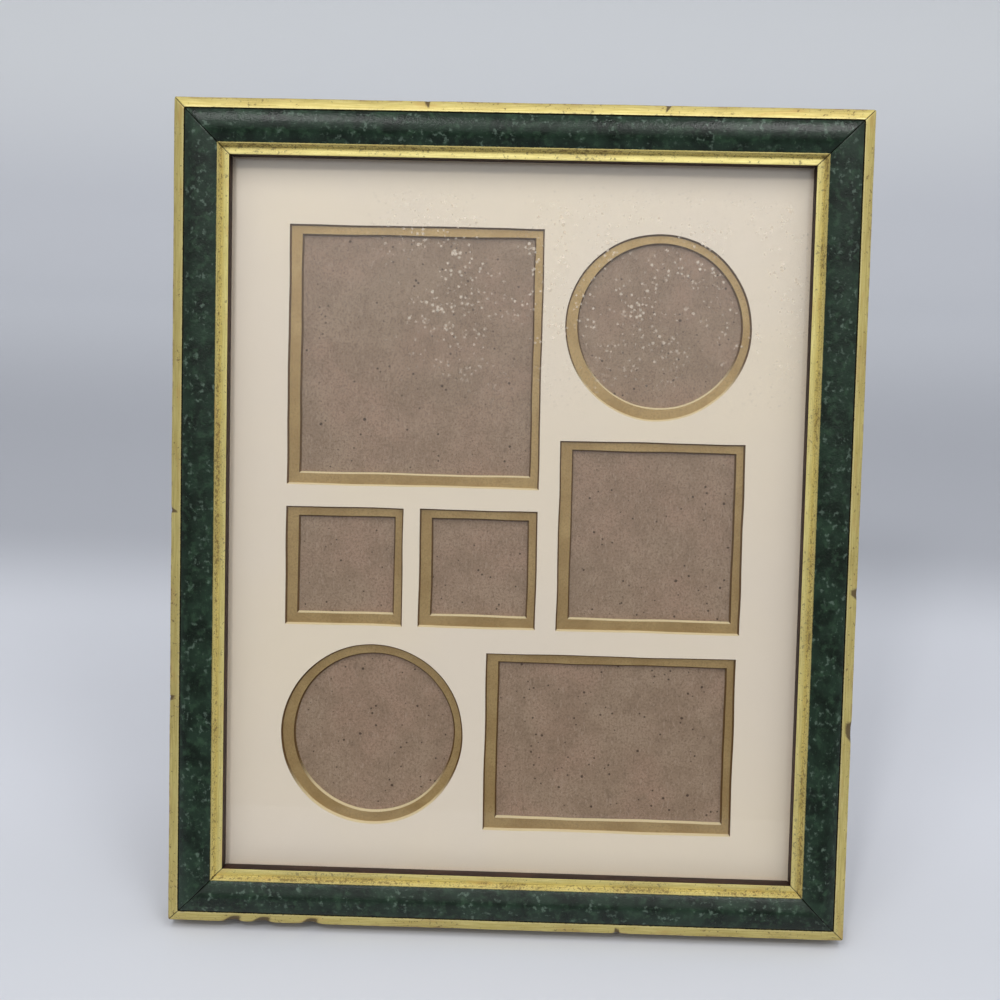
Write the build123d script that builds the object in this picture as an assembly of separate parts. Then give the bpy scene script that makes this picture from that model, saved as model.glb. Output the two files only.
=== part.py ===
from build123d import *
import math
import os

# A table-top collage photo frame. Four mitred moulding rails hold glass, a window mat, a liner mat,
# a backing card and a back board, and the frame leans back on a hinged easel leg.
# Every piece is drawn upright, its back face on Y = 0 and its front towards -Y, with its bottom edge
# on Z = 0, and the finished set is leaned back at the end. All sizes are in millimetres and degrees.

# Stance on the table
lean_angle = 15.0
leg_opening = 30.0

# Moulding seen from the front, from its outer edge to the picture
sight_width = 190.9
sight_height = 237.7
outer_band_width = 3.7
green_band_width = 10.8
inner_step_width = 1.3
lip_width = 2.4

# Moulding heights, measured from the ledge that the glass lies against
outer_edge_height = 5.5
outer_ridge_height = 7.1
dome_height = 8.7
inner_ridge_height = 7.0
inner_bead_height = 0.25
lip_height = 5.3
lip_crown = 0.35
outer_edge_round = 0.6
groove_width = 0.4
groove_depth = 0.5
sight_wall_draft = 0.15

# Rabbet and the flat sheets in it, from the front to the back
rabbet_overlap = 6.5
stack_clearance = 0.5
glass_thickness = 2.0
window_mat_thickness = 1.4
liner_mat_thickness = 1.4
backing_card_thickness = 1.4
back_board_thickness = 3.0
glass_edge_bevel = 0.2

# Windows of the mat
big_window_width = 84.5
big_window_height = 86.4
small_window_width = 39.5
small_window_height = 40.0
middle_window_width = 61.6
middle_window_height = 64.0
wide_window_width = 83.9
wide_window_height = 60.6
round_window_diameter = 61.7
column_gap = 6.9
big_to_small_gap = 7.3
small_to_wide_gap = 8.2
mat_top_margin = 21.3
round_side_overhang = 0.7
round_end_inset = 0.85
wide_side_inset = 0.8
liner_reveal = 3.4
liner_shift_right = 0.6
liner_shift_up = 0.4

# Corner nails, driven into the back across each mitre
nail_leg_length = 3.2
nail_thickness = 0.7
nail_depth = 7.0
nail_half_angle = 55.0
nail_first_distance = 5.0
nail_spacing = 5.5

# Turn buttons and their screws
button_pivot_radius = 4.4
button_tip_radius = 2.9
button_reach = 10.4
button_thickness = 1.0
button_gap = 0.25
button_bump_radius = 1.2
button_bump_height = 0.6
button_corner_distance = 51.5
screw_shank_radius = 1.5
screw_running_clearance = 0.06
screw_head_radius = 2.9
screw_head_height = 1.5
screw_head_gap = 0.2
screw_depth = 9.0
screw_point_length = 2.0
screw_slot_width = 0.8
screw_slot_depth = 0.6

# Easel leg, of hardboard
leg_thickness = 2.5
leg_top_width = 34.0
leg_foot_width = 54.0
leg_top_round = 6.0
leg_fold_gap = 0.4
leg_top_gap = 0.5
hinge_above_middle = 29.0

# Easel hinge, of sheet steel curled round a pin
hinge_gauge = 0.8
hinge_running_clearance = 0.05
hinge_plate_width = 26.0
hinge_plate_length = 20.0
leg_leaf_length = 22.0
hinge_corner_round = 3.0
middle_knuckle_width = 10.0
knuckle_side_gap = 0.3
knuckle_swing_gap = 0.4
stop_gap = 0.1
pin_end_length = 0.8
hinge_rivet_spacing = 14.0
hinge_rivet_distance = 12.0

# Rivets
rivet_shank_radius = 1.2
rivet_head_radius = 2.2
rivet_head_height = 0.9

# Hanger ring and its strap
ring_wire_radius = 0.9
ring_wire_facets = 12
ring_width = 16.0
ring_drop = 12.0
ring_bar_corner_round = 1.6
ring_bow_round = 5.6
ring_running_clearance = 0.06
strap_gauge = 0.8
strap_width = 9.0
strap_length = 11.0
strap_corner_round = 2.5
strap_rivet_distance = 6.5
hanger_below_top = 28.0

# A cutting tool runs this far past what it cuts, and a fastener's hole is this much wider all round
overrun = 1.0
hole_clearance = 0.03

# Worked out from the sizes above
rail_width = outer_band_width + green_band_width + inner_step_width + lip_width
frame_width = sight_width + 2 * rail_width
frame_height = sight_height + 2 * rail_width
land_width = rail_width - rabbet_overlap
button_side_distance = frame_width / 2 - button_corner_distance
hinge_height = frame_height / 2 + hinge_above_middle
hanger_height = frame_height - hanger_below_top
glass_width = sight_width + 2 * (rabbet_overlap - stack_clearance)
glass_height = sight_height + 2 * (rabbet_overlap - stack_clearance)
sheet_centre_height = frame_height / 2 - stack_clearance
card_back = back_board_thickness
liner_back = card_back + backing_card_thickness
window_mat_back = liner_back + liner_mat_thickness
glass_back = window_mat_back + window_mat_thickness
ledge_height = glass_back + glass_thickness
moulding_depth = ledge_height + dome_height
knuckle_radius = (leg_fold_gap + leg_thickness + hinge_gauge) / 2
hinge_bore_radius = knuckle_radius - hinge_gauge
pin_radius = hinge_bore_radius - hinge_running_clearance
fixed_bore_radius = pin_radius + hole_clearance
stop_tongue_length = hinge_bore_radius / math.tan(math.radians(leg_opening / 2))
stop_tongue_length -= stop_gap / math.sin(math.radians(leg_opening))
strap_bore_radius = ring_wire_radius + ring_running_clearance
strap_knuckle_radius = strap_bore_radius + strap_gauge


def slab(outline, back, depth):
    """An outline drawn across and up, given depth towards the front from a height over the back."""
    return extrude(Plane.XZ.offset(back) * outline, depth, dir=(0, -1, 0))


def moulding_profile():
    """Section of the rail: across from its outer edge, and up from its back face."""
    outer_top = ledge_height + outer_edge_height
    ridge_top = ledge_height + outer_ridge_height
    bead_foot = ledge_height + inner_ridge_height
    bead_top = bead_foot + inner_bead_height
    lip_top = ledge_height + lip_height
    green_start = outer_band_width + groove_width / 2
    green_end = outer_band_width + green_band_width
    bead_end = green_end + inner_bead_height * 2
    lip_start = green_end + inner_step_width
    corner = (0, outer_top - outer_edge_round)
    band_start = (outer_edge_round, outer_top)
    band_end = (outer_band_width - groove_width / 2, ridge_top)
    groove_foot = (outer_band_width, ridge_top - groove_depth)
    dome_start = (green_start, ridge_top)
    dome_top = ((green_start + green_end) / 2, ledge_height + dome_height)
    dome_end = (green_end, bead_foot)
    step_middle = (lip_start - inner_step_width / 4, (bead_foot + lip_top) / 2)
    lip_middle = (lip_start + lip_width / 2, lip_top + lip_crown)
    outline = Polyline((0, 0), corner)
    outline += TangentArc(corner, band_start, tangent=(0, 1))
    outline += Polyline(band_start, band_end, groove_foot, dome_start)
    outline += ThreePointArc(dome_start, dome_top, dome_end)
    outline += ThreePointArc(dome_end, ((green_end + bead_end) / 2, bead_top), (bead_end, bead_foot))
    outline += Polyline((bead_end, bead_foot), step_middle, (lip_start, lip_top))
    outline += ThreePointArc((lip_start, lip_top), lip_middle, (rail_width, lip_top))
    outline += Polyline(
        (rail_width, lip_top),
        (rail_width + sight_wall_draft, ledge_height),
        (land_width, ledge_height),
        (land_width, 0),
        (0, 0),
    )
    return make_face(outline)


def rail(length, outer_distance):
    """One rail below the frame's centre, run along X and mitred at both ends."""
    start = Plane(origin=(-length / 2, 0, -outer_distance), x_dir=(0, 0, 1), z_dir=(1, 0, 0))
    stick = extrude(start * moulding_profile(), length)
    cut_width = rail_width + sight_wall_draft
    half = length / 2
    footprint = Polygon(
        (-half, -outer_distance),
        (half, -outer_distance),
        (half - cut_width, cut_width - outer_distance),
        (cut_width - half, cut_width - outer_distance),
        align=None,
    )
    mitres = slab(footprint, -overrun, moulding_depth + 2 * overrun)
    return stick & mitres


def corner_nail(distance):
    """One V-shaped nail, its point on the mitre at a distance from the outer corner."""
    along = nail_leg_length * math.cos(math.radians(nail_half_angle))
    across = nail_leg_length * math.sin(math.radians(nail_half_angle))
    back = nail_thickness / math.sin(math.radians(nail_half_angle))
    outline = Polygon(
        (distance, 0),
        (distance + along, across),
        (distance + along + back, across),
        (distance + back, 0),
        (distance + along + back, -across),
        (distance + along, -across),
        align=None,
    )
    return slab(Rot(Z=45) * outline, 0, nail_depth)


def corner_nails():
    """Two nails at each of the four mitres."""
    nails = []
    half_width = frame_width / 2
    half_height = frame_height / 2
    corners = [(-1, -1, 0), (-1, 1, 90), (1, 1, 180), (1, -1, 270)]
    for side, end, turn in corners:
        place = Pos(side * half_width, 0, half_height + end * half_height) * Rot(Y=turn)
        for number in range(2):
            nails.append(place * corner_nail(nail_first_distance + number * nail_spacing))
    return nails


def sheet_outline():
    """Outline shared by the glass, the mats, the card and the board, resting on the bottom rail."""
    return Pos(0, sheet_centre_height) * Rectangle(glass_width, glass_height)


def sheet(back, thickness):
    """A flat sheet in the rabbet, its back face at the given height over the frame's back."""
    return slab(sheet_outline(), back, thickness)


def window_layout():
    """Width, height, centre across and centre up of each window; a round one has no height."""
    field_width = big_window_width + column_gap + middle_window_width
    field_top = frame_height / 2 + sight_height / 2 - mat_top_margin
    left = -field_width / 2
    right = field_width / 2
    round_radius = round_window_diameter / 2
    small_top = field_top - big_window_height - big_to_small_gap
    small_bottom = small_top - small_window_height
    small_centre = small_top - small_window_height / 2
    wide_bottom = small_bottom - small_to_wide_gap - wide_window_height
    second_small_centre = left + big_window_width - small_window_width / 2
    wide_centre = right - wide_side_inset - wide_window_width / 2
    upper_round = (right + round_side_overhang - round_radius, field_top - round_end_inset - round_radius)
    lower_round = (left - round_side_overhang + round_radius, wide_bottom + round_end_inset + round_radius)
    return [
        (big_window_width, big_window_height, left + big_window_width / 2, field_top - big_window_height / 2),
        (small_window_width, small_window_height, left + small_window_width / 2, small_centre),
        (small_window_width, small_window_height, second_small_centre, small_centre),
        (
            middle_window_width,
            middle_window_height,
            right - middle_window_width / 2,
            small_bottom + middle_window_height / 2,
        ),
        (wide_window_width, wide_window_height, wide_centre, wide_bottom + wide_window_height / 2),
        (round_window_diameter, 0, *upper_round),
        (round_window_diameter, 0, *lower_round),
    ]


def windowed_sheet(back, thickness, reveal, shift_right, shift_up):
    """A mat whose windows are smaller than the layout by the reveal on every side."""
    outline = sheet_outline()
    for width, height, across, up in window_layout():
        place = Pos(across + shift_right, up + shift_up)
        if height == 0:
            outline -= place * Circle(width / 2 - reveal)
        else:
            outline -= place * Rectangle(width - 2 * reveal, height - 2 * reveal)
    return slab(outline, back, thickness)


def glass_pane():
    """The glass, its sharp edges swiped."""
    pane = sheet(glass_back, glass_thickness)
    return chamfer(pane.edges(), glass_edge_bevel)


def turned(outline):
    """A solid turned round the Y axis, from lines that run on from and back to that axis."""
    return revolve(make_face(outline), Axis.Y)


def rivet(grip, spare=0):
    """A rivet along Y, its head over Y = 0 and its shank closed flush at the end of the grip."""
    shank = rivet_shank_radius + spare
    outline = Polyline(
        (0, rivet_head_height),
        (rivet_head_radius, rivet_head_height),
        (rivet_head_radius, 0),
        (shank, 0),
        (shank, -grip),
        (0, -grip),
        (0, rivet_head_height),
    )
    return turned(outline)


def button_places():
    """Across, up and turn of each button's pivot; unturned, a button points up."""
    middle = land_width / 2
    side = frame_width / 2 - middle
    top = frame_height - middle
    return [
        (-button_side_distance, top, 180),
        (button_side_distance, top, 180),
        (-button_side_distance, middle, 0),
        (button_side_distance, middle, 0),
        (-side, frame_height / 2, 90),
        (side, frame_height / 2, -90),
    ]


def turn_button():
    """A flat teardrop button round its pivot, pointing up, with a bump to push it by."""
    ends = Circle(button_pivot_radius) + Pos(0, button_reach) * Circle(button_tip_radius)
    outline = make_hull(ends.edges()) - Circle(screw_shank_radius + screw_running_clearance)
    plate = slab(outline, -button_gap - button_thickness, button_thickness)
    bump = slab(Circle(button_bump_radius), -button_bump_height, button_bump_height)
    return plate + Pos(0, button_gap + button_thickness, button_reach) * bump


def screw_hole():
    """The hole drilled for a button's screw from the back face."""
    return slab(Circle(screw_shank_radius + hole_clearance), 0, screw_depth + hole_clearance)


def button_screw():
    """The wood screw of one button: slotted head, plain shank and point."""
    foot = button_gap + button_thickness + screw_head_gap
    top = foot + screw_head_height
    outline = Polyline(
        (0, top),
        (screw_head_radius, top),
        (screw_head_radius, foot),
        (screw_shank_radius, foot),
        (screw_shank_radius, screw_point_length - screw_depth),
        (0, -screw_depth),
        (0, top),
    )
    slot = Box(2 * screw_head_radius, screw_slot_depth, screw_slot_width)
    return turned(outline) - Pos(0, top - screw_slot_depth / 2, 0) * slot


def knuckle(radius, bore, start, end):
    """A curl of sheet steel round the X axis, from start to end."""
    return extrude(Plane.YZ.offset(start) * (Circle(radius) - Circle(bore)), end - start)


def tunnel(radius, length):
    """A round bar along the X axis, as a pin or as the bore for one."""
    return extrude(Plane.YZ.offset(-length / 2) * Circle(radius), length)


def leaf(radius, gauge, width, start, end):
    """A flat strip tangent to a curl's board side, from start to end up the board."""
    return slab(Pos(0, (start + end) / 2) * Rectangle(width, end - start), radius - gauge, gauge)


def rounded_leaf(radius, gauge, width, start, end, corner):
    """A flat strip whose far corners are rounded."""
    strip = leaf(radius, gauge, width, start, end)
    far_corners = strip.edges().filter_by(Axis.Y).group_by(Axis.Z)[-1]
    return fillet(far_corners, corner)


def hinge_plate():
    """The half of the hinge on the board: two outer curls, notched for the middle one."""
    half_middle = middle_knuckle_width / 2 + knuckle_side_gap
    half_width = hinge_plate_width / 2
    notch = knuckle_radius + knuckle_swing_gap
    plate = rounded_leaf(
        knuckle_radius, hinge_gauge, hinge_plate_width, notch, hinge_plate_length, hinge_corner_round
    )
    arm_width = half_width - half_middle
    for start in (-half_width, half_middle):
        plate += knuckle(knuckle_radius, fixed_bore_radius, start, start + arm_width)
        arm = leaf(knuckle_radius, hinge_gauge, arm_width, 0, notch)
        plate += Pos(start + arm_width / 2, 0, 0) * arm
    return plate - tunnel(fixed_bore_radius, hinge_plate_width)


def leg_leaf():
    """The half of the hinge on the folded leg: the middle curl, and a tongue that stops the leg."""
    notch = knuckle_radius + knuckle_swing_gap
    strip = rounded_leaf(
        knuckle_radius, hinge_gauge, hinge_plate_width, notch, leg_leaf_length, hinge_corner_round
    )
    strip += leaf(knuckle_radius, hinge_gauge, middle_knuckle_width, -stop_tongue_length, notch)
    strip += knuckle(
        knuckle_radius, hinge_bore_radius, -middle_knuckle_width / 2, middle_knuckle_width / 2
    )
    strip -= tunnel(hinge_bore_radius, hinge_plate_width)
    return Rot(X=180) * strip


def hinge_pin():
    """The pin through the three curls, a little proud at both ends."""
    return tunnel(pin_radius, hinge_plate_width + 2 * pin_end_length)


def leg_board():
    """The folded leg, wider at its foot and longer than needed, because the table cuts it."""
    top = knuckle_radius + leg_top_gap
    reach = hinge_height + moulding_depth
    slope = (leg_foot_width - leg_top_width) / 2 / hinge_height
    foot_half = leg_top_width / 2 + slope * (reach - top)
    top_half = leg_top_width / 2
    corners = [(-foot_half, -reach), (foot_half, -reach), (top_half, -top), (-top_half, -top)]
    outline = Polygon(*corners, align=None)
    outline = fillet(outline.vertices().group_by(Axis.Y)[-1], leg_top_round)
    return slab(outline, -hinge_bore_radius, leg_thickness)


def rivet_pair(grip, height, head_foot, spare=0):
    """The hinge's two rivets side by side, their heads standing on a face over the back."""
    pair = []
    for side in (-1, 1):
        pair.append(Pos(side * hinge_rivet_spacing / 2, head_foot, height) * rivet(grip, spare))
    return pair


def ring():
    """The hanger ring round its bar, hanging straight down the board, its wire drawn with flats."""
    half = ring_width / 2
    path = Plane.XZ * FilletPolyline(
        (-half, 0),
        (half, 0),
        (half, -ring_drop),
        (-half, -ring_drop),
        radius=[ring_bar_corner_round, ring_bar_corner_round, ring_bow_round, ring_bow_round],
        close=True,
    )
    section = (path ^ 0) * RegularPolygon(ring_wire_radius, ring_wire_facets)
    return sweep(section, path=path)


def hanger_strap():
    """The strap curled round the ring's bar and riveted below it."""
    strap = rounded_leaf(
        strap_knuckle_radius, strap_gauge, strap_width, 0, strap_length, strap_corner_round
    )
    strap += knuckle(strap_knuckle_radius, strap_bore_radius, -strap_width / 2, strap_width / 2)
    strap -= tunnel(strap_bore_radius, strap_width)
    return Rot(Y=180) * strap


def group(pieces):
    """Separate solids kept together as one sub-part."""
    return Compound([piece.solid() for piece in pieces])


def without(solid, fasteners):
    """The solid with the holes that its fasteners fill."""
    for fastener in fasteners:
        solid -= fastener
    return solid


def build_frame():
    """The four rails, with their nail slots and screw holes."""
    nails = corner_nails()
    screws = [Pos(x, 0, z) * button_screw() for x, z, turn in button_places()]
    holes = [Pos(x, 0, z) * screw_hole() for x, z, turn in button_places()]
    middle = Pos(0, 0, frame_height / 2)
    across = rail(frame_width, frame_height / 2)
    upright = rail(frame_height, frame_width / 2)
    places = {
        "bottom_rail": middle * across,
        "top_rail": middle * Rot(Y=180) * across,
        "left_rail": middle * Rot(Y=90) * upright,
        "right_rail": middle * Rot(Y=-90) * upright,
    }
    pieces = {name: without(solid, nails + holes) for name, solid in places.items()}
    pieces["corner_nails"] = group(nails)
    pieces["button_screws"] = group(screws)
    return pieces


def build_stack():
    """The sheets in the rabbet, from the glass to the backing card."""
    return {
        "glass_pane": glass_pane(),
        "window_mat": windowed_sheet(window_mat_back, window_mat_thickness, 0, 0, 0),
        "liner_mat": windowed_sheet(
            liner_back, liner_mat_thickness, liner_reveal, liner_shift_right, liner_shift_up
        ),
        "backing_card": sheet(card_back, backing_card_thickness),
    }


def build_buttons():
    """The turn buttons, each turned to lie over the edge of the board."""
    buttons = {}
    for number, (across, up, turn) in enumerate(button_places(), start=1):
        buttons[f"turn_button_{number}"] = Pos(across, 0, up) * Rot(Y=turn) * turn_button()
    return buttons


def build_back():
    """The back board, the easel leg with its hinge, and the hanger."""
    axis = Pos(0, knuckle_radius, hinge_height)
    opened = axis * Rot(X=leg_opening)
    hanger_axis = Pos(0, strap_knuckle_radius, hanger_height)
    plate_pair = (back_board_thickness + hinge_gauge, hinge_height + hinge_rivet_distance, hinge_gauge)
    leaf_pair = (leg_thickness + hinge_gauge, -hinge_rivet_distance, knuckle_radius)
    plate_holes = rivet_pair(*plate_pair, hole_clearance)
    leaf_holes = rivet_pair(*leaf_pair, hole_clearance)
    strap_rivet_place = Pos(0, strap_gauge, hanger_height - strap_rivet_distance)
    strap_grip = back_board_thickness + strap_gauge
    strap_hole = strap_rivet_place * rivet(strap_grip, hole_clearance)
    return {
        "back_board": without(sheet(0, back_board_thickness), plate_holes + [strap_hole]),
        "hinge_plate": without(axis * hinge_plate(), plate_holes),
        "hinge_plate_rivets": group(rivet_pair(*plate_pair)),
        "hinge_pin": axis * hinge_pin(),
        "leg_leaf": opened * without(leg_leaf(), leaf_holes),
        "leg_leaf_rivets": opened * group(rivet_pair(*leaf_pair)),
        "easel_leg": opened * without(leg_board(), leaf_holes),
        "hanger_strap": without(hanger_axis * hanger_strap(), [strap_hole]),
        "hanger_rivet": strap_rivet_place * rivet(strap_grip),
        "hanger_ring": hanger_axis * Rot(X=lean_angle) * ring(),
    }


def stand(pieces):
    """Lean every piece back, trim the leg at the table and put the origin under the middle."""
    leaned = {name: Rot(X=-lean_angle) * piece for name, piece in pieces.items()}
    leaned["easel_leg"] = split(leaned["easel_leg"], bisect_by=Plane.XY, keep=Keep.TOP)
    boxes = [piece.bounding_box() for piece in leaned.values()]
    front = min(box.min.Y for box in boxes)
    rear = max(box.max.Y for box in boxes)
    centred = Pos(0, -(front + rear) / 2, 0)
    return {name: centred * piece for name, piece in leaned.items()}


pieces = stand({**build_frame(), **build_stack(), **build_buttons(), **build_back()})
os.makedirs("parts", exist_ok=True)
for name, piece in pieces.items():
    export_step(piece, f"parts/{name}.step")
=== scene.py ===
import math

import bmesh
import bpy
import numpy as np
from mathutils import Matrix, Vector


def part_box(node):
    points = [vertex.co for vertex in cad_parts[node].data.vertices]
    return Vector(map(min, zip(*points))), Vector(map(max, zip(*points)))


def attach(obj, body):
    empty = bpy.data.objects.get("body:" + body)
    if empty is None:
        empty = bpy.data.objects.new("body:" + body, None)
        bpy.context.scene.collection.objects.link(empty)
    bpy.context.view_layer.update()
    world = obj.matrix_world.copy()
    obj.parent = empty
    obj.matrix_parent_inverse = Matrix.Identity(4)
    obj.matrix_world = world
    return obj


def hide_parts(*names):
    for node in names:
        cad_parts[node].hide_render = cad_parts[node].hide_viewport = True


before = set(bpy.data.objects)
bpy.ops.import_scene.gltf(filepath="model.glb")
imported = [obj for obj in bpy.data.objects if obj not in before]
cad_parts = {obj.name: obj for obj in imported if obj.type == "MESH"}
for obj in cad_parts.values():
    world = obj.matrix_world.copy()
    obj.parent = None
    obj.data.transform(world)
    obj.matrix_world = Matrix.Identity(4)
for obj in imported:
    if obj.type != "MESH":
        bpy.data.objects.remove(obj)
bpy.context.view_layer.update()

# The moulding: four lengths of one stepped wooden moulding, gilded along both edges and finished
# between them in glossy dark green with a cloudy, flecked marbling. The lengths are mitred, glued and
# nailed at the corners. The rabbet and the back are bare wood.
mm = 0.001
lean = math.radians(15)
frame_width = 227.3
frame_height = 274.1
foot_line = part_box("top_rail")[1].y - frame_height * mm * math.sin(lean)
rng = np.random.default_rng(11)


def leaned(across, out, up):
    """Points in metres of the standing frame, from millimetres on the upright one: across from its
    middle, out from its back and up from its bottom edge, turned back about that edge by the lean."""
    depth = up * math.sin(lean) - out * math.cos(lean)
    height = up * math.cos(lean) + out * math.sin(lean)
    return np.stack([across * mm, depth * mm + foot_line, height * mm], axis=-1)


def bowed(start, end, rise, count):
    """A shallow curve of a section: the straight line from start up to its end, which is left out,
    raised by rise * (1 - t * t) where t runs from -1 to 1."""
    t = np.linspace(-1, 1, count, endpoint=False)[:, None]
    straight = np.array(start) + (np.array(end) - np.array(start)) * (t + 1) / 2
    return straight + np.array([0, rise]) * (1 - t * t)


# Section of the moulding, in from its outer edge and out from its back, in millimetres
arris_height = 14.7
bead_outside = (14.5, 16.2)
bead_inside = (15.0, 16.2)
sight_edge = (18.2, 14.8)
ledge_height = 9.2
rabbet_wall = 11.7
section = {
    "outer side": [(0, 0)],
    "outer band": [(0, arris_height)],
    "groove": [(3.5, 16.3), (3.7, 15.8)],
    "dome": bowed((3.9, 16.3), bead_outside, 1.65, 20),
    "bead": bowed(bead_outside, bead_inside, 0.25, 4),
    "riser": [bead_inside, (15.475, 15.35)],
    "lip": bowed((15.8, 14.35), sight_edge, 0.12, 8),
    "sight wall": [sight_edge],
    "ledge": [(18.35, ledge_height)],
    "rabbet": [(rabbet_wall, ledge_height)],
    "back": [(rabbet_wall, 0)],
}
section_corners = np.concatenate([np.array(points, float) for points in section.values()])
corner_easing = np.full(len(section_corners), 0.16)
outer_arris = 1
corner_easing[outer_arris] = 0.6
most_easing_share = 0.45
step_lengths = np.linalg.norm(np.roll(section_corners, -1, axis=0) - section_corners, axis=1)
girth_total = step_lengths.sum()
corner_girths = np.cumsum(step_lengths) - step_lengths
stretch_sizes = [len(points) for points in section.values()]
stretch_starts = np.cumsum(stretch_sizes) - stretch_sizes
girth_at = {name: corner_girths[start] for name, start in zip(section, stretch_starts)}


def eased_outline(corners, easing, count):
    """A closed outline with its corners eased, and the distance round it of every point: each corner
    becomes (1 - t)^2 * before + 2 * t * (1 - t) * corner + t^2 * after, where before and after lie an
    easing away on either side of it, or less where a side is short."""
    back = np.roll(corners, 1, axis=0) - corners
    ahead = np.roll(corners, -1, axis=0) - corners
    back_length = np.linalg.norm(back, axis=1)
    ahead_length = np.linalg.norm(ahead, axis=1)
    back_reach = np.minimum(easing, most_easing_share * back_length)
    ahead_reach = np.minimum(easing, most_easing_share * ahead_length)
    before = (corners + back * (back_reach / back_length)[:, None])[:, None]
    after = (corners + ahead * (ahead_reach / ahead_length)[:, None])[:, None]
    t = np.linspace(0, 1, count)[:, None]
    points = (1 - t) ** 2 * before + 2 * t * (1 - t) * corners[:, None] + t**2 * after
    girths = corner_girths[:, None] - back_reach[:, None] * (1 - t[:, 0]) + ahead_reach[:, None] * t[:, 0]
    return points.reshape(-1, 2), girths.reshape(-1)


outline, outline_girths = eased_outline(section_corners, corner_easing, 3)

# Stations along a rail as shares of its half length, closer together at the mitres
end_shares = 1 - np.array([0, 0.0007, 0.0016, 0.0032, 0.006])
stations = np.unique(np.concatenate([np.linspace(-0.99, 0.99, 291), end_shares, -end_shares]))

# The wood is a little uneven: its front and its outer edge waver along the rail, each in two waves of a
# (height, length over 2 pi)
front_waves = [(0.035, 11), (0.02, 3.7)]
edge_waves = [(0.03, 8), (0.02, 2.9)]
front_start = 13
wave_fade = 1.5

# A knock reaches a little way from the arris. Each mitre shows as a fine groove, which sinks towards the
# heart of the wood, as far in from the outer edge as out from the back
knock_reach = 1.1
knock_sink_share = 0.5
mitre_depth = 0.3
mitre_width = 0.12
heart = 9

# The developed surface, as unrolled from the section, is mapped in units of 100 mm, and each rail's
# pattern starts further along it, so that no two rails look alike
developed_unit = 100
pattern_spacing = 400
moulding_sharp_over = math.radians(28)


def wavering(run, waves, phases):
    """The sum of height * sin(run / length + phase) over the waves."""
    return sum(height * np.sin(run / length + phase) for (height, length), phase in zip(waves, phases))


def rail(name, length, reach, quarter_turns, knocks):
    """One rail as a grid. Point (s, k) lies s * (half the length - u) along it, u in from its outer edge
    and h out from its back, where (u, h) is point k of the outline, so both ends are true mitres. Knocks
    are (place along, half width, depth) of bites out of its outer arris. The point then wavers, and by
    a mitre it sinks by depth * exp(-distance / width) towards the heart of the wood."""
    s = stations[:, None]
    u = np.repeat(outline[None, :, 0], len(stations), axis=0)
    h = np.repeat(outline[None, :, 1], len(stations), axis=0)
    run = s * (length / 2 - u)
    seam = (1 - np.abs(s)) * (length / 2 - u) / math.sqrt(2)
    phases = rng.uniform(0, 2 * math.pi, 4)
    h = h + wavering(run, front_waves, phases[:2]) * np.clip((h - front_start) / wave_fade, 0, 1)
    u = u + wavering(run, edge_waves, phases[2:]) * np.exp(-u / wave_fade)
    worn = np.zeros_like(run)
    arris_distance = np.hypot(outline[:, 0], outline[:, 1] - arris_height)[None, :]
    nearness = np.exp(-((arris_distance / knock_reach) ** 2))
    for place, half_width, depth in knocks:
        bite = depth / (1 + ((run - place) / half_width) ** 4) * nearness
        u = u + bite
        h = h - knock_sink_share * bite
        worn = np.maximum(worn, bite / depth)
    sinking = mitre_depth * np.exp(-seam / mitre_width) / np.hypot(heart - u, heart - h)
    u, h = u + (heart - u) * sinking, h + (heart - h) * sinking
    run = s * (length / 2 - u)
    across, up = run, u - reach
    for turn in range(quarter_turns):
        across, up = -up, across
    points = leaned(across, h, up + frame_height / 2).reshape(-1, 3)

    rows, columns = s.shape[0], len(outline)
    row = np.arange(rows - 1)[:, None] * columns
    column = np.arange(columns)[None, :]
    beside = (column + 1) % columns
    quads = np.stack([row + column, row + columns + column, row + columns + beside, row + beside], axis=-1)
    near_cap = np.arange(columns)
    far_cap = (rows - 1) * columns + near_cap[::-1]
    faces = quads.reshape(-1, 4).tolist() + [near_cap.tolist(), far_cap.tolist()]
    mesh = bpy.data.meshes.new(name)
    mesh.from_pydata(points, [], faces)
    girths = np.append(outline_girths, outline_girths[0] + girth_total)
    runs = run[:, np.arange(columns + 1) % columns] + pattern_spacing * quarter_turns
    developed = np.stack([runs, np.broadcast_to(girths, runs.shape)], axis=-1) / developed_unit
    strips = [developed[:-1, :-1], developed[1:, :-1], developed[1:, 1:], developed[:-1, 1:]]
    ends = [developed[0, :-1], developed[-1, :-1][::-1]]
    flat = np.concatenate([np.stack(strips, axis=2).reshape(-1, 2)] + ends)
    mesh.uv_layers.new(name="developed").data.foreach_set("uv", flat.ravel())
    for attribute, values in (("seam", seam), ("worn", worn)):
        layer = mesh.attributes.new(attribute, "FLOAT", "POINT")
        layer.data.foreach_set("value", np.broadcast_to(values, run.shape).ravel())
    return placed(name, mesh, moulding_sharp_over)


def placed(name, mesh, sharp_angle):
    """An object for a mesh that is already where it belongs, smooth but for edges over an angle."""
    mesh.shade_smooth()
    mesh.set_sharp_from_angle(angle=sharp_angle)
    piece = bpy.data.objects.new(name, mesh)
    bpy.context.scene.collection.objects.link(piece)
    return piece


def light_of(red, green, blue):
    """A colour given 0 to 255, as linear light."""
    shares = np.array([red, green, blue]) / 255
    return (*np.where(shares > 0.04045, ((shares + 0.055) / 1.055) ** 2.4, shares / 12.92), 1.0)


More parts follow.
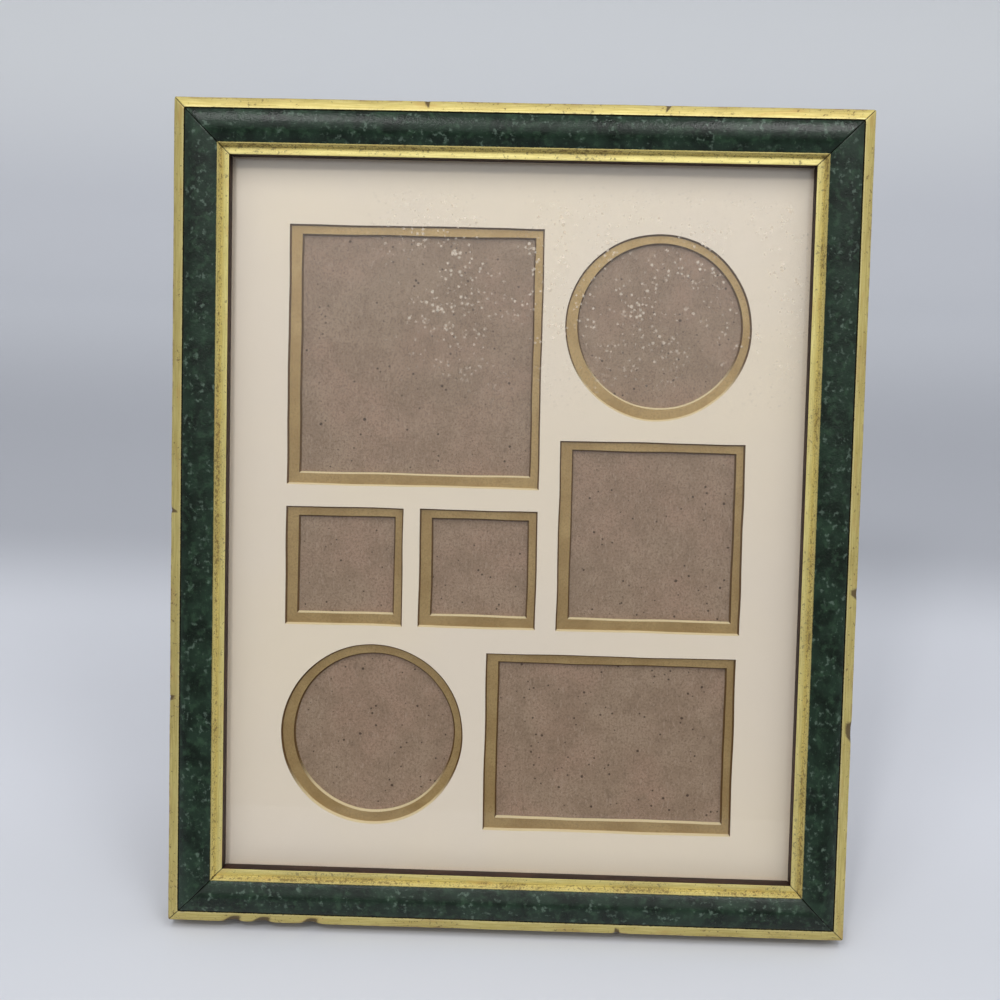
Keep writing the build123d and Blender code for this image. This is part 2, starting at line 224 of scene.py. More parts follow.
class Wire:
    """One output of a shader node. Python's signs on it add Math nodes."""

    def __init__(self, finish, output):
        self.finish = finish
        self.output = output

    def math(self, operation, *others):
        return self.finish.node("Math", {"operation": operation}, dict(enumerate(others)))

    def __add__(self, other):
        return self.math("ADD", self, other)

    def __sub__(self, other):
        return self.math("SUBTRACT", self, other)

    def __rsub__(self, other):
        return self.math("SUBTRACT", other, self)

    def __mul__(self, other):
        return self.math("MULTIPLY", self, other)

    def __pow__(self, other):
        return self.math("POWER", self, other)

    __radd__ = __add__
    __rmul__ = __mul__

    def capped(self, most):
        """The value, or most where it is more."""
        return self.math("MINIMUM", self, most)

    def between(self, low, high):
        """0 below low and 1 above high, with a smooth step from one to the other."""
        settings = {"interpolation_type": "SMOOTHSTEP"}
        return self.finish.node("MapRange", settings, {"Value": self, "From Min": low, "From Max": high})


class Finish:
    """A node material, or with a world's tree given, the world's shading."""

    def __init__(self, name, tree=None):
        if tree is None:
            self.material = bpy.data.materials.new(name)
            self.material.use_nodes = True
            tree = self.material.node_tree
        self.tree = tree
        self.tree.nodes.clear()

    def node(self, kind, settings, inputs, output=0):
        """A node of a kind, its settings set first, then its sockets' values or links."""
        node = self.tree.nodes.new("ShaderNode" + kind)
        for name, value in settings.items():
            setattr(node, name, value)
        for name, value in inputs.items():
            if isinstance(value, Wire):
                self.tree.links.new(value.output, node.inputs[name])
            else:
                node.inputs[name].default_value = value
        return Wire(self, node.outputs[output])

    def object_place(self):
        """The place on the object, in metres."""
        return self.node("TexCoord", {}, {}, "Object")

    def cells(self, place, size):
        """The distance, in cells of a size in millimetres, to the nearest of scattered points."""
        return self.node("TexVoronoi", {}, {"Vector": place, "Scale": 1 / (size * mm)}, "Distance")

    def noise(self, place, size, detail=2.0, roughness=0.5):
        """Soft noise, 0 to 1, whose largest features have a size in millimetres."""
        inputs = {"Vector": place, "Scale": 1 / (size * mm), "Detail": detail, "Roughness": roughness}
        return self.node("TexNoise", {}, inputs)

    def stretched(self, place, stretch):
        """A place with each of its axes divided by a stretch, so that noise on it is drawn out."""
        shares = tuple(1 / share for share in stretch)
        return self.node("VectorMath", {"operation": "MULTIPLY"}, {0: place, 1: shares})

    def mixed(self, share, first, second):
        """The first colour where share is 0 and the second where it is 1."""
        return self.node("Mix", {"data_type": "RGBA"}, {0: share, 6: first, 7: second}, 2)

    def blended(self, share, first, second):
        """The first number where share is 0 and the second where it is 1."""
        return self.node("Mix", {"data_type": "FLOAT"}, {0: share, 2: first, 3: second}, 0)

    def bump(self, height, depth, strength=1.0):
        """A bumped normal: height 1 stands a depth in millimetres above height 0."""
        return self.node("Bump", {}, {"Height": height, "Distance": depth * mm, "Strength": strength})

    def surface(self, inputs):
        """The material's one surface shader."""
        self.end(self.node("BsdfPrincipled", {}, inputs))

    def end(self, shader, kind="OutputMaterial"):
        """Joins the last shader to the output."""
        last = self.tree.nodes.new("ShaderNode" + kind)
        self.tree.links.new(shader.output, last.inputs["Surface"])


def dress(piece, body, slot, finish, *replaced):
    """Puts a finish on a piece, fixes it to a body and hides the nodes that it stands for."""
    piece.data.materials.clear()
    piece.data.materials.append(finish.material)
    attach(piece, body)
    if replaced:
        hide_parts(*replaced)


gilding = Finish("gilded and marbled moulding")
developed = gilding.node("UVMap", {"uv_map": "developed"}, {})
girth = gilding.node("SeparateXYZ", {}, {"Vector": developed}, "Y") * developed_unit
rail_place = gilding.stretched(developed, [1 / (developed_unit * mm)] * 3)
ragged = girth + (gilding.noise(rail_place, 0.5, 3.0) - 0.5) * 0.5


def past(part, start, end, along=girth):
    """0 up to start and 1 from end on, both in millimetres from where a part of the section begins."""
    return along.between(girth_at[part] + start, girth_at[part] + end)


seam_mask = 1 - gilding.node("Attribute", {"attribute_name": "seam"}, {}, "Fac").between(0.06, 0.2)
worn_mask = gilding.node("Attribute", {"attribute_name": "worn"}, {}, "Fac").between(0.15, 0.45)

# Gold leaf tone: long faint streaks, the reddish clay below showing in rubbed places, and dark specks
# that gather towards the band edges
streaks = gilding.noise(gilding.stretched(rail_place, (18, 1, 1)), 0.5, 3.0)
clay = gilding.noise(gilding.stretched(rail_place, (3, 1, 1)), 5, 3.0)
gold = gilding.mixed(streaks.between(0.3, 0.7), light_of(238, 225, 152), light_of(212, 196, 120))
gold = gilding.mixed(clay.between(0.56, 0.72) * 0.4, gold, light_of(212, 168, 104))
near_outer_edge = 1 - past("outer band", 0.1, 1.1)
near_groove = past("groove", -0.9, 0.0)
near_riser = past("riser", -0.4, 0.1) * (1 - past("lip", 0.0, 0.9))
is_lip = past("lip", 0.0, 0.3)
is_riser = past("riser", -0.1, 0.1) * (1 - is_lip)
crowding = near_outer_edge * 0.03 + near_groove * 0.03 + near_riser * 0.03 + is_riser * 0.05
rubbed = gilding.noise(rail_place, 22, 2.0).between(0.42, 0.66)
fine_specks = gilding.noise(rail_place, 0.6, 3.0, 0.65) + crowding + rubbed * 0.05
coarse_specks = gilding.noise(rail_place, 1.5, 3.0, 0.6) + crowding * 0.7 + rubbed * 0.06
specks = (fine_specks.between(0.63, 0.73) * 0.8 + coarse_specks.between(0.65, 0.7)).capped(1)
gold = gilding.mixed(rubbed * 0.25, gold, light_of(176, 150, 88))
gold = gilding.mixed(specks * 0.75, gold, light_of(84, 62, 28))
# A pale line on the outer band's edge by the groove is a painted highlight, where the rounded arris
# catches the light.
painted_edge_highlight = past("groove", -0.5, -0.35) * (1 - past("groove", -0.2, -0.1))
gold = gilding.mixed(painted_edge_highlight * 0.5, gold, light_of(250, 242, 190))
# The gold away from the lip is painted a little darker, a painted shade, and the lip a little paler, a
# painted highlight, as the lip catches more of the light from high in front.
gold = gilding.mixed((1 - is_lip) * 0.22, gold, light_of(168, 146, 88))
gold = gilding.mixed(is_lip * 0.2, gold, light_of(252, 244, 176))
rosy = near_outer_edge * gilding.noise(rail_place, 3.5, 2.0).between(0.5, 0.65)
gold = gilding.mixed(rosy * 0.45, gold, light_of(150, 112, 92))

# Marbled green: near black, clouded, with clusters of pale grey-green flecks, and painted shade that
# darkens it in the groove
clouds = gilding.noise(rail_place, 9, 4.0, 0.55)
mottle = gilding.noise(rail_place, 3.2, 5.0, 0.6)
clusters = gilding.noise(rail_place, 8, 2.0).between(0.46, 0.6)
flecks = gilding.noise(rail_place, 2.0, 3.0, 0.6).between(0.54, 0.68) * clusters
fine_flecks = gilding.noise(rail_place, 1.0, 3.0, 0.6).between(0.63, 0.7)
green = gilding.mixed(clouds.between(0.35, 0.65), light_of(17, 28, 20), light_of(33, 50, 38))
green = gilding.mixed(mottle.between(0.48, 0.72) * 0.6, green, light_of(55, 79, 59))
green = gilding.mixed(flecks * 0.42, green, light_of(116, 136, 122))
green = gilding.mixed(fine_flecks * 0.3, green, light_of(90, 112, 92))
# The groove is painted near black as shade.
groove_shade = past("groove", 0.0, 0.2) * (1 - past("dome", 0.0, 0.3))
green = gilding.mixed(groove_shade * 0.85, green, light_of(12, 14, 8))

# Bare wood with grain along the rail, and the brown-painted wall at the sight edge
grain = gilding.noise(gilding.stretched(rail_place, (30, 1, 1)), 1.0, 4.0, 0.6)
wood = gilding.mixed(grain.between(0.35, 0.7), light_of(206, 174, 130), light_of(160, 122, 80))
umber = gilding.mixed(clay.between(0.4, 0.7), light_of(44, 26, 17), light_of(62, 38, 25))

is_green = past("groove", 0.05, 0.2, ragged) * (1 - past("bead", -0.1, 0.1, ragged))
is_wall = past("sight wall", 0.05, 0.2)
is_wood = past("ledge", -0.1, 0.1)
is_side = 1 - past("outer band", -0.6, -0.2)
colour = gilding.mixed(is_side * 0.7, gold, light_of(120, 92, 52))
colour = gilding.mixed(is_green, colour, green)
colour = gilding.mixed(is_wall, colour, umber)
colour = gilding.mixed(worn_mask * 0.9, colour, light_of(70, 50, 28))
colour = gilding.mixed(is_wood, colour, wood)
colour = gilding.mixed(seam_mask * 0.9, colour, light_of(24, 18, 12))
is_gold = (1 - is_green) * (1 - is_wall) * (1 - is_wood) * (1 - seam_mask) * (1 - worn_mask)
metal = is_gold * (1 - specks * 0.8) * (0.85 - is_riser * 0.4)
shine = gilding.blended(is_green, gilding.noise(rail_place, 1.5, 3.0) * 0.2 + 0.45, 0.16)
dull = (is_wall + is_wood + is_side * 0.4).capped(1)
shine = gilding.blended(dull, shine, 0.7)
green_relief = gilding.noise(rail_place, 1.1, 3.0, 0.6) * 5 + gilding.noise(rail_place, 0.5, 2.0) * 3
relief = gilding.blended(is_green, gilding.noise(rail_place, 0.45, 3.0, 0.6), green_relief)
gilding.surface(
    {
        "Base Color": colour,
        "Metallic": metal,
        "Roughness": shine,
        "Specular IOR Level": 0.3,
        "Normal": gilding.bump(relief - specks * 0.4, 0.03, 0.6),
    }
)

# Knocks in the outer arris of each rail, as (place along it, half width, depth)
knocks = {
    "bottom_rail": [(-92.0, 2.2, 0.8), (-82.0, 2.4, 0.7), (-65.6, 2.2, 0.8), (38.0, 0.8, 0.4)],
    "left_rail": [(-2.0, 0.7, 0.35), (61.0, 0.6, 0.2)],
    "right_rail": [(-66.0, 2.8, 0.35), (-20.0, 1.4, 0.2)],
    "top_rail": [(31.0, 0.7, 0.15), (-47.0, 0.6, 0.15)],
}
for number, name in enumerate(["bottom_rail", "right_rail", "top_rail", "left_rail"]):
    lying = number % 2 == 0
    length = frame_width if lying else frame_height
    reach = frame_height / 2 if lying else frame_width / 2
    piece = rail(name + "_moulding", length, reach, number, knocks[name])
    dress(piece, "frame", "moulding", gilding, name)

# The corner nails: V-shaped steel nails pressed into the back across each mitre by the joining machine,
# two a corner. They stand a hair proud of the wood, and their plating is dull.
back_way = np.array([0, math.cos(lean), -math.sin(lean)])
sharp_over = math.radians(30)
flat_within = math.radians(1)
same_within = 0.002


def eased(node, arris, raised=0.0):
    """A node's own shape with its edges eased: its triangles are joined, its flat faces made whole, and
    every edge sharper than 30 degrees gets a small bevel. Raised moves it out of the frame's back."""
    work = bmesh.new()
    work.from_mesh(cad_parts[node].data)
    bmesh.ops.remove_doubles(work, verts=work.verts, dist=same_within * mm)
    bmesh.ops.dissolve_limit(work, angle_limit=flat_within, verts=work.verts, edges=work.edges)
    bmesh.ops.translate(work, verts=work.verts, vec=back_way * raised * mm)
    mesh = bpy.data.meshes.new(node + "_eased")
    work.to_mesh(mesh)
    work.free()
    if mesh.attributes.get("custom_normal"):
        mesh.attributes.remove(mesh.attributes["custom_normal"])
    piece = placed(node + "_eased", mesh, sharp_over)
    bevel = piece.modifiers.new("eased edges", "BEVEL")
    bevel.width = arris * mm
    bevel.segments = 2
    bevel.limit_method = "ANGLE"
    bevel.angle_limit = sharp_over
    bevel.harden_normals = True
    return piece


zinc = Finish("dull zinc plating")
zinc_place = zinc.object_place()
bloom = zinc.noise(zinc_place, 1.6, 4.0, 0.6)
zinc.surface(
    {
        "Base Color": zinc.mixed(bloom, light_of(196, 198, 200), light_of(150, 152, 154)),
        "Metallic": 1.0,
        "Roughness": bloom * 0.25 + 0.25,
        "Normal": zinc.bump(zinc.noise(zinc_place, 0.3, 2.0), 0.01, 0.4),
    }
)
dress(eased("corner_nails", 0.06, 0.15), "frame", "bright_steel", zinc, "corner_nails")

# The glass: a plain 2 mm pane with its edges swiped, held under the lip. It reflects 4% face on and more
# at a glancing view, and has a little dust and some dried spots on it, mostly in its upper half. A faint
# pale haze lies over it, thicker higher up.
pane = Finish("clear glass")
pane_place = pane.object_place()
facing = pane.node("LayerWeight", {}, {"Blend": 0.5}, "Facing")
mirrored = facing**5 * 0.9 + 0.04
gloss = pane.node("BsdfGlossy", {}, {"Color": (1, 1, 1, 1), "Roughness": 0.02})
clear = pane.node("BsdfTransparent", {}, {"Color": (0.985, 0.99, 0.985, 1)})
glass = pane.node("MixShader", {}, {0: mirrored, 1: clear, 2: gloss})
height = pane.node("SeparateXYZ", {}, {"Vector": pane_place}, "Z")
across = pane.node("SeparateXYZ", {}, {"Vector": pane_place}, "X")
dusty_height = height.between(0.165, 0.205) * (1 - height.between(0.228, 0.245))
dusty_width = across.between(-0.055, -0.035) * (1 - across.between(0.085, 0.1))
dusty = pane.noise(pane_place, 16, 2.0).between(0.4, 0.52) * dusty_height * dusty_width
spot_size = pane.noise(pane_place, 6.0, 2.0) * 0.56
spots = (spot_size - pane.cells(pane_place, 2.2)).between(0.0, 0.24)
pale_haze = pane.noise(pane_place, 50, 3.0).between(0.35, 0.65) * (height.between(0.1, 0.22) * 0.008 + 0.004)
dust = pane.node("BsdfDiffuse", {}, {"Color": light_of(244, 232, 214)})
veil = spots * dusty * 0.48 + pale_haze
pane.end(pane.node("MixShader", {}, {0: veil, 1: glass, 2: dust}))


def coat(node, finish):
    """Puts a finish on a node that is kept as it is."""
    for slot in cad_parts[node].material_slots:
        slot.material = finish.material


coat("glass_pane", pane)

# The window mat: cream-faced mat board with five square-cornered windows and two round ones, cut by hand
# with a slanted blade, so that the edges waver slightly and the core shows as a fine line round each
# window: painted dark brown as shade where it faces down or sideways, and painted pale as light where
# it faces up. It is stuck to the gold liner behind it.
sheet_width = 202.9
sheet_height = 249.7
sheet_drop = 0.5
liner_front = 5.8
mat_thickness = 1.36
slant = 0.5
waver = 0.09
shortest_waves = [5, 2.2]
longest_waves = [12, 4]
loop_step = 1.5
circle_points = 160
merge_within = 0.0001
rim_within = 0.01
board_sharp_over = math.radians(40)


def rectangle_loop(width, height, across, up):
    """Points round a rectangle about a step apart, its corners among them, counter-clockwise."""
    corners = np.array([[-1, -1], [1, -1], [1, 1], [-1, 1]]) * [width / 2, height / 2]
    ahead = np.roll(corners, -1, axis=0)
    counts = np.ceil(np.linalg.norm(ahead - corners, axis=1) / loop_step).astype(int)
    sides = [
        start + (end - start) * np.linspace(0, 1, count, endpoint=False)[:, None]
        for start, end, count in zip(corners, ahead, counts)
    ]
    return np.concatenate(sides) + [across, up]


def circle_loop(diameter, across, up):
    """Points round a circle: half the diameter times (cos, sin) of each turn."""
    turn = np.linspace(0, 2 * math.pi, circle_points, endpoint=False)
    return diameter / 2 * np.stack([np.cos(turn), np.sin(turn)], axis=-1) + [across, up]


def hand_cut(loop, amount):
    """The loop moved by slow waves: across by waves of the height, and up by waves of the width."""
    waves = rng.uniform(shortest_waves, longest_waves, (2, 2))
    phases = rng.uniform(0, 2 * math.pi, (2, 2))
    moved = np.sin(loop[:, ::-1, None] / waves + phases) * [amount, amount / 3]
    return loop + moved.sum(axis=-1)


def narrowed(loop, amount):
    """A counter-clockwise loop moved inwards: each point goes amount * (n + m) / (1 + n . m), where n and
    m are the inward normals of the sides that meet there."""
    way = np.roll(loop, -1, axis=0) - loop
    way = way / np.linalg.norm(way, axis=1)[:, None]
    ahead = np.stack([-way[:, 1], way[:, 0]], axis=-1)
    behind = np.roll(ahead, 1, axis=0)
    return loop + amount * (ahead + behind) / (1 + (ahead * behind).sum(axis=1))[:, None]


def cut_board(name, loops, back, thickness):
    """A flat board bounded by its first loop and pierced by the others: a filled flat curve, made a mesh
    and leaned back with the frame. The windows are narrower by the slant on each side at the back. The
    faces of the cut edges take the second material, and "faces_up" is 1 on those that face up."""
    curve = bpy.data.curves.new(name, "CURVE")
    curve.dimensions = "2D"
    curve.fill_mode = "BOTH"
    curve.extrude = thickness / 2
    for loop in loops:
        spline = curve.splines.new("POLY")
        spline.points.add(len(loop) - 1)
        spline.points.foreach_set("co", np.pad(loop, ((0, 0), (0, 2))).ravel())
        spline.use_cyclic_u = True
    drawn = bpy.data.objects.new(name + "_drawn", curve)
    bpy.context.scene.collection.objects.link(drawn)
    mesh = bpy.data.meshes.new_from_object(drawn.evaluated_get(bpy.context.evaluated_depsgraph_get()))
    bpy.data.objects.remove(drawn)
    bpy.data.curves.remove(curve)
    work = bmesh.new()
    work.from_mesh(mesh)
    bmesh.ops.remove_doubles(work, verts=work.verts, dist=merge_within)
    bmesh.ops.dissolve_degenerate(work, dist=merge_within, edges=work.edges)
    bmesh.ops.recalc_face_normals(work, faces=work.faces)
    work.to_mesh(mesh)
    work.free()
    normals = np.zeros(3 * len(mesh.polygons))
    mesh.polygons.foreach_get("normal", normals)
    facing = normals.reshape(-1, 3)
    is_cut = np.abs(facing[:, 2]) < 0.5
    layer = mesh.attributes.new("faces_up", "FLOAT", "FACE")
    layer.data.foreach_set("value", facing[:, 1].clip(0, 1))
    points = np.zeros(3 * len(mesh.vertices))
    mesh.vertices.foreach_get("co", points)
    across, up, out = points.reshape(-1, 3).T
    rims = np.concatenate(loops[1:])
    narrow_rims = np.concatenate([narrowed(loop, slant) for loop in loops[1:]])
    reach = np.hypot(across[:, None] - rims[:, 0], up[:, None] - rims[:, 1])
    nearest = np.argmin(reach, axis=1)
    slanted = (out < 0) & (reach.min(axis=1) < rim_within)
    across = np.where(slanted, narrow_rims[nearest, 0], across)
    up = np.where(slanted, narrow_rims[nearest, 1], up)
    points = leaned(across, out + back + thickness / 2, up + frame_height / 2)
    mesh.vertices.foreach_set("co", points.ravel())
    mesh.name = name
    piece = placed(name, mesh, board_sharp_over)
    return piece, is_cut


# Each window is (width, height, across, up) about the frame's middle; a round one has no height
windows = [
    (84.5, 86.4, -34.25, 54.35),
    (39.5, 40.0, -56.75, -16.15),
    (39.5, 40.0, -11.75, -16.15),
    (61.6, 64.0, 45.7, -4.15),
    (83.9, 60.6, 33.75, -74.65),
    (61.7, 0, 46.35, 65.85),
    (61.7, 0, -46.35, -73.25),
]
outer_loop = rectangle_loop(sheet_width, sheet_height, 0, -sheet_drop)


def window_loops(margin, right, up_shift):
    """The loops of all windows, a margin smaller on every side and shifted right and up."""
    loops = []
    for width, height, across, up in windows:
        centre = (across + right, up + up_shift)
        if height == 0:
            loop = circle_loop(width - 2 * margin, *centre)
        else:
            loop = rectangle_loop(width - 2 * margin, height - 2 * margin, *centre)
        loops.append(hand_cut(loop, waver))
    return loops


cream = Finish("cream mat paper")
cream_place = cream.object_place()
pulp = cream.noise(cream_place, 0.5, 4.0, 0.6)
ageing = cream.noise(cream_place, 70, 2.0)
toned = cream.mixed(ageing.between(0.35, 0.65), light_of(232, 219, 204), light_of(235, 221, 201))
toned = cream.mixed(pulp.between(0.3, 0.7) * 0.5, toned, light_of(226, 212, 196))
cream.surface(
    {
        "Base Color": toned,
        "Roughness": 0.85,
        "Specular IOR Level": 0.25,
        "Normal": cream.bump(pulp, 0.02, 0.5),
    }
)
# The core's colour carries painted shade where a cut edge faces down or sideways, and painted light where
# it faces up.
core = Finish("mat board core")
core_place = core.object_place()
fibre = core.noise(core_place, 0.3, 3.0, 0.7)
faces_up = core.node("Attribute", {"attribute_name": "faces_up"}, {}, "Fac")
shaded_core = core.mixed(fibre, light_of(118, 88, 50), light_of(96, 70, 38))
lit_core = core.mixed(fibre, light_of(238, 222, 184), light_of(222, 202, 158))
core.surface(
    {
        "Base Color": core.mixed(faces_up.between(0.3, 0.8), shaded_core, lit_core),
        "Roughness": 0.9,
        "Specular IOR Level": 0.1,
        "Normal": core.bump(fibre, 0.04, 0.6),
    }
)
mat_loops = [outer_loop] + window_loops(0, 0, 0)
mat, mat_cut = cut_board("window_mat_board", mat_loops, liner_front, mat_thickness)
dress(mat, "frame", "cream_mat", cream, "window_mat")
mat.data.materials.append(core.material)
mat.data.polygons.foreach_set("material_index", mat_cut.astype(np.int32))

# The liner mat: a second mat board faced with dull gold paper, its windows 3.4 mm smaller on each side,
# so that it borders every opening. It sits a little off centre, and its cut edges are like the mat's.
border = 3.4
liner_thickness = 1.4
liner_right = 0.6
liner_up = 0.4
old_gold = Finish("dull gold mat paper")
old_gold_place = old_gold.object_place()
paper_grain = old_gold.noise(old_gold_place, 0.6, 4.0, 0.65)
paper_cloud = old_gold.noise(old_gold_place, 11, 3.0)
clouded = paper_cloud.between(0.35, 0.65)
gold_paper = old_gold.mixed(clouded, light_of(207, 175, 122), light_of(193, 160, 108))
gold_paper = old_gold.mixed(paper_grain.between(0.4, 0.75) * 0.5, gold_paper, light_of(154, 127, 80))
old_gold.surface(
    {
        "Base Color": gold_paper,
        "Metallic": 0.75,
        "Roughness": 0.38,
        "Normal": old_gold.bump(paper_grain, 0.02, 0.5),
    }
)
liner_loops = [outer_loop] + window_loops(border, liner_right, liner_up)
liner_back = liner_front - liner_thickness
liner, liner_cut = cut_board("liner_mat_board", liner_loops, liner_back, liner_thickness)
dress(liner, "frame", "gold_mat", old_gold, "liner_mat")
liner.data.materials.append(core.material)
liner.data.polygons.foreach_set("material_index", liner_cut.astype(np.int32))

# The backing card: a sheet of grey-brown recycled card that shows in the windows, mottled, with dark
# flecks and fibres. It lies loose between the liner mat and the back board.
recycled = Finish("recycled card")
card_place = recycled.object_place()
mottles = recycled.noise(card_place, 9, 4.0, 0.6)
grit = recycled.noise(card_place, 0.7, 4.0, 0.65)
reddish = recycled.noise(card_place, 26, 2.0)
strands = recycled.noise(recycled.stretched(card_place, (1, 1, 5)), 0.9, 3.0, 0.7)
# Long dark streaks are painted shade that stands in for faint creases, which the card's surface doesn't
# have.
crease_shade = recycled.noise(recycled.stretched(card_place, (1, 1, 8)), 1.0, 3.0, 0.6)
pulp_tone = recycled.mixed(reddish.between(0.35, 0.65), light_of(160, 138, 118), light_of(163, 136, 117))
pulp_tone = recycled.mixed(mottles.between(0.35, 0.65) * 0.7, pulp_tone, light_of(142, 120, 101))
pulp_tone = recycled.mixed(grit.between(0.42, 0.7) * 0.6, pulp_tone, light_of(114, 93, 77))
pulp_tone = recycled.mixed(strands.between(0.55, 0.68) * 0.5, pulp_tone, light_of(172, 150, 132))
pulp_tone = recycled.mixed(crease_shade.between(0.6, 0.72) * 0.45, pulp_tone, light_of(108, 88, 74))
fleck_size = recycled.noise(card_place, 4, 2.0) * 0.5 - 0.12
dark_flecks = (fleck_size - recycled.cells(card_place, 2.6)).between(0.0, 0.08)
pulp_tone = recycled.mixed(dark_flecks * 0.8, pulp_tone, light_of(62, 46, 38))
recycled.surface(
    {
        "Base Color": pulp_tone,
        "Roughness": 0.9,
        "Specular IOR Level": 0.2,
        "Normal": recycled.bump(grit + strands * 0.5, 0.04, 0.6),
    }
)
coat("backing_card", recycled)

# The back board and the easel leg: dark brown hardboard, smooth-faced, with short fibres showing and
# paler rubbed patches. Sawn edges are fuzzier than the faces.
hardboard = Finish("hardboard")
board_place = hardboard.object_place()
fibres = hardboard.noise(hardboard.stretched(board_place, (1, 1, 4)), 0.6, 4.0, 0.7)
scuffs = hardboard.noise(board_place, 24, 4.0, 0.6)
brown = hardboard.mixed(fibres.between(0.35, 0.7), light_of(104, 76, 54), light_of(72, 50, 35))
brown = hardboard.mixed(scuffs.between(0.55, 0.75) * 0.4, brown, light_of(132, 102, 76))
hardboard.surface(
    {
        "Base Color": brown,
        "Roughness": scuffs * 0.3 + 0.45,
        "Normal": hardboard.bump(fibres, 0.05, 0.6),
    }
)
dress(eased("back_board", 0.25), "frame", "hardboard", hardboard, "back_board")
dress(eased("easel_leg", 0.3), "leg", "hardboard", hardboard, "easel_leg")

# The turn buttons and their screws: pressed brassed steel buttons that swivel over the board's edge,
# each on a slotted zinc screw driven into the rail.
brass = Finish("brassed steel")
brass_place = brass.object_place()
wear = brass.noise(brass_place, 2.2, 4.0, 0.65)
drawn_lines = brass.noise(brass.stretched(brass_place, (6, 1, 1)), 0.2, 3.0, 0.6)
brassy = brass.mixed(wear.between(0.4, 0.7), light_of(206, 172, 104), light_of(158, 124, 66))
brass.surface(
    {
        "Base Color": brassy,
        "Metallic": 1.0,
        "Roughness": wear * 0.3 + 0.2,
        "Normal": brass.bump(drawn_lines, 0.01, 0.4),
    }
)
for number in range(1, 7):
    name = f"turn_button_{number}"
    dress(eased(name, 0.14), f"button_{number}", "brassed_steel", brass, name)
dress(eased("button_screws", 0.1), "frame", "bright_steel", zinc, "button_screws")

# The easel hinge: two brassed steel leaves curled round a pin, one riveted to the board and one to the
# leg, whose tongue runs past the pin and stops the open leg.
dress(eased("hinge_plate", 0.1), "frame", "brassed_steel", brass, "hinge_plate")
dress(eased("leg_leaf", 0.1), "leg", "brassed_steel", brass, "leg_leaf")
dress(eased("hinge_pin", 0.12), "frame", "bright_steel", zinc, "hinge_pin")
dress(eased("hinge_plate_rivets", 0.12), "frame", "bright_steel", zinc, "hinge_plate_rivets")
dress(eased("leg_leaf_rivets", 0.12), "leg", "bright_steel", zinc, "leg_leaf_rivets")

# The hanger: a bent zinc-plated wire ring in a curled strap of brassed steel, riveted near the top of
# the board.
dress(eased("hanger_strap", 0.1), "frame", "brassed_steel", brass, "hanger_strap")
dress(eased("hanger_rivet", 0.12), "frame", "bright_steel", zinc, "hanger_rivet")
coat("hanger_ring", zinc)

# The sweep: pale blue-grey paper on the table, that curves up into the backdrop behind the frame. Its
# tone carries painted shade and light from front to back.
sweep_front = -3.5
sweep_foot = 1.0
sweep_radius = 0.4
sweep_top = 2.4
sweep_half_width = 2.6


def sweep_surface():
    """A line carried across: flat floor, a quarter circle of a radius, then a wall."""
    turn = np.linspace(0, math.pi / 2, 33)
    curve_depth = sweep_foot + sweep_radius * np.sin(turn)
    curve_height = sweep_radius * (1 - np.cos(turn))
    depth = np.concatenate([[sweep_front], curve_depth, [sweep_foot + sweep_radius]])
    height = np.concatenate([[0.0], curve_height, [sweep_top]])
    across = np.linspace(-sweep_half_width, sweep_half_width, 9)
    points = np.stack(np.broadcast_arrays(across[:, None], depth[None], height[None]), axis=-1)
    rows, columns = points.shape[:2]
    row = np.arange(rows - 1)[:, None] * columns
    column = np.arange(columns - 1)[None, :]
    near = row + column
    far = near + columns
    quads = np.stack([near, far, far + 1, near + 1], axis=-1)
    mesh = bpy.data.meshes.new("sweep")
    mesh.from_pydata(points.reshape(-1, 3), [], quads.reshape(-1, 4).tolist())
    return placed("sweep", mesh, board_sharp_over)


paper = Finish("pale sweep paper")
paper_depth = paper.node("SeparateXYZ", {}, {"Vector": paper.object_place()}, "Y")
# Painted shade and light: darkest far in front, out of view, which keeps the floor mirrored in the lower
# rails dark; pale round the frame; a painted shaded band just behind it; and palest up the wall.
tone = paper.mixed(paper_depth.between(-0.26, -0.1), light_of(150, 152, 158), light_of(212, 215, 222))
tone = paper.mixed(paper_depth.between(-0.05, 0.06), tone, light_of(223, 226, 234))
tone = paper.mixed(paper_depth.between(0.2, 0.34), tone, light_of(187, 190, 198))
tone = paper.mixed(paper_depth.between(0.5, 0.95), tone, light_of(216, 219, 226))
tone = paper.mixed(paper_depth.between(1.2, 1.4), tone, light_of(240, 243, 246))
paper.surface({"Base Color": tone, "Roughness": 0.9, "Specular IOR Level": 0.2})
sweep = sweep_surface()
sweep.data.materials.append(paper.material)

# Light: a soft studio dome with less light low down in front, and brighter fields high in front and to
# each side, a small key lamp high on the left, a wide soft lamp on the right, and a long panel that
# hangs in front of each end of the top rail. The camera sees the dome a little paler than it lights.
world = bpy.data.worlds.new("studio dome")
bpy.context.scene.world = world
world.use_nodes = True
dome = Finish("studio dome", world.node_tree)
way = dome.node("TexCoord", {}, {}, "Generated")
way_up = dome.node("SeparateXYZ", {}, {"Vector": way}, "Z")
way_right = dome.node("SeparateXYZ", {}, {"Vector": way}, "X")
way_front = 0 - dome.node("SeparateXYZ", {}, {"Vector": way}, "Y")
low_front = way_front.between(0.2, 0.8) * (1 - way_up.between(0.0, 0.3))
high_front = way_front.between(0.3, 0.9) * way_up.between(0.2, 0.45)
left_side = (0 - way_right).between(0.2, 0.8) * way_up.between(0.0, 0.5)
right_side = way_right.between(0.2, 0.8) * way_up.between(0.0, 0.5)
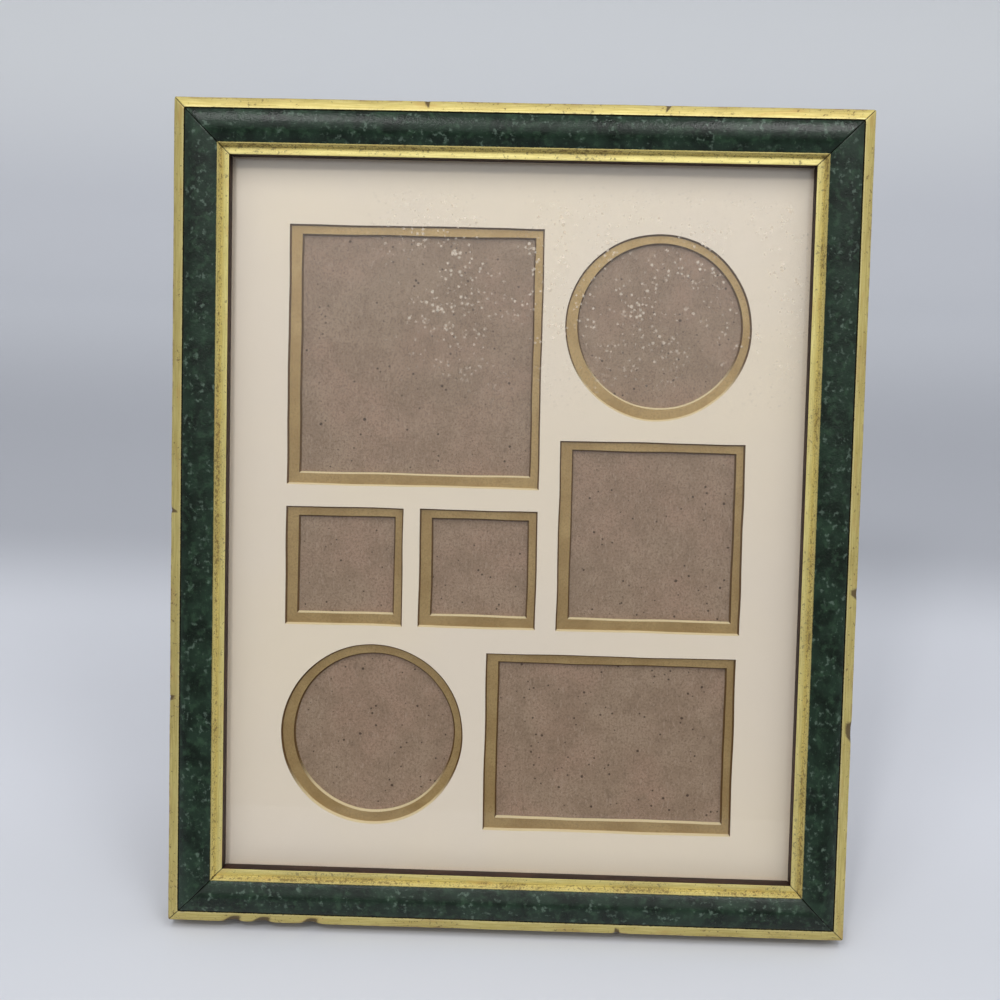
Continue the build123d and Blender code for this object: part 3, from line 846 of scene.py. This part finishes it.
dome_level = (1 - low_front * 0.85) * 0.43 + high_front * 0.7 + left_side * 0.2 + right_side * 0.55
seen = dome.node("LightPath", {}, {}, "Is Camera Ray")
dome_level = dome.blended(seen, dome_level, 0.75)
backdrop = dome.node("Background", {}, {"Color": light_of(252, 253, 255), "Strength": dome_level})
dome.end(backdrop, "OutputWorld")


def lamp(name, place, aim, width, depth, power, colour):
    """A rectangular lamp at a place, turned to face an aim."""
    light = bpy.data.lights.new(name, "AREA")
    light.shape = "RECTANGLE"
    light.size = width
    light.size_y = depth
    light.energy = power
    light.color = colour
    holder = bpy.data.objects.new(name, light)
    holder.location = place
    direction = np.array(aim) - np.array(place)
    tilt = math.acos(-direction[2] / np.linalg.norm(direction))
    holder.rotation_euler = (tilt, 0, math.atan2(-direction[0], direction[1]))
    bpy.context.scene.collection.objects.link(holder)
    return holder


# The key throws the shadows, but isn't mirrored in the gilding
key = lamp("key", (-0.25, -0.95, 1.05), (0, 0, 0.14), 0.12, 0.12, 3.4, (1.0, 0.99, 0.97))
key.visible_glossy = False
lamp("wide_lamp", (0.25, -0.55, 0.95), (0, 0, 0.12), 0.7, 0.55, 0.7, (1.0, 0.98, 0.95))

# The panels face straight down: their aims lie a hair further back than they do, to set their turn
lamp("left_panel", (-0.2, -0.4, 0.85), (-0.2, -0.3999, 0), 0.14, 0.45, 1.1, (1.0, 1.0, 1.0))
lamp("right_panel", (0.21, -0.4, 0.85), (0.21, -0.3999, 0), 0.14, 0.45, 1.2, (1.0, 1.0, 1.0))

# The camera, standing where the photograph was taken from: above the frame's middle and a little to its
# right, looking down at it.
lens = bpy.data.cameras.new("camera")
lens.lens = 55.476
lens.sensor_width = 36
lens.sensor_fit = "HORIZONTAL"
lens.clip_start = 0.01
camera = bpy.data.objects.new("camera", lens)
camera.location = (0.0076044, -0.4929483, 0.310887)
camera.rotation_euler = (math.radians(70.81209), math.radians(-0.89899), math.radians(1.7701))
bpy.context.scene.collection.objects.link(camera)
bpy.context.scene.camera = camera
bpy.context.scene.view_settings.view_transform = "Standard"
